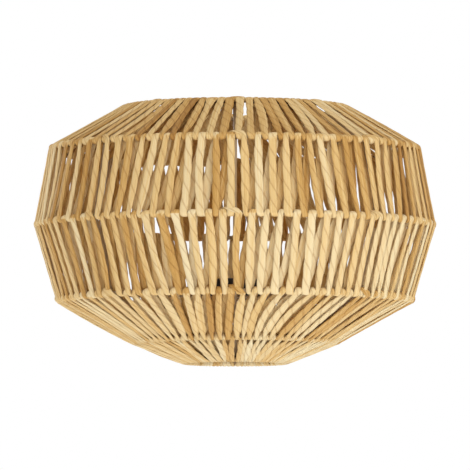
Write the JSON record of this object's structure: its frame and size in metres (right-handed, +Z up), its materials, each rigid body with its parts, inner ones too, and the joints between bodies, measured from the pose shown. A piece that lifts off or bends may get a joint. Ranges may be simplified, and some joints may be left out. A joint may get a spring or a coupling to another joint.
{
  "type": "lamp shade",
  "caption": "Faceted round lamp shade: natural cord wound in bands over a welded wire frame, open at the top, with a fitter hole for a lampholder and a retaining ring.",
  "frame": {"origin": "centre of the fitter hole on the fitter's underside, which is the face that sits on the lampholder's shoulder", "axes": "+Z up along the shade's axis and the lamp's pole, +X through the first rib and the first spider arm"},
  "size_m": [0.4018, 0.4018, 0.2588],
  "materials": {
    "natural_cord": "matt twisted plant-fibre cord",
    "frame_wire": "satin powder coat, tan",
    "fitter": "satin powder coat, tan",
    "collar_plastic": "fine matt black moulding"
  },
  "bodies": {
    "shade": {"top_ring": "frame_wire", "upper_shoulder_ring": "frame_wire", "equator_ring": "frame_wire", "lower_shoulder_ring": "frame_wire", "lower_ring": "frame_wire", "bottom_ring": "frame_wire", "rib_1": "frame_wire", "rib_2": "frame_wire", "rib_3": "frame_wire", "rib_4": "frame_wire", "rib_5": "frame_wire", "rib_6": "frame_wire", "rib_7": "frame_wire", "rib_8": "frame_wire", "spider_arm_1": "frame_wire", "spider_arm_2": "frame_wire", "spider_arm_3": "frame_wire", "spider_arm_4": "frame_wire", "fitter_ring": "fitter", "top_cone_winding": "natural_cord", "upper_band_winding": "natural_cord", "lower_band_winding": "natural_cord", "lower_cone_winding": "natural_cord", "bottom_cone_winding": "natural_cord"},
    "collar": {"retaining_ring": "collar_plastic"}
  },
  "joints": [
    {"name": "retaining_ring_travel", "type": "slide", "parent": "shade", "child": "collar", "axis": [0, 0, 1], "range_m": [0, 0.018]}
  ]
}
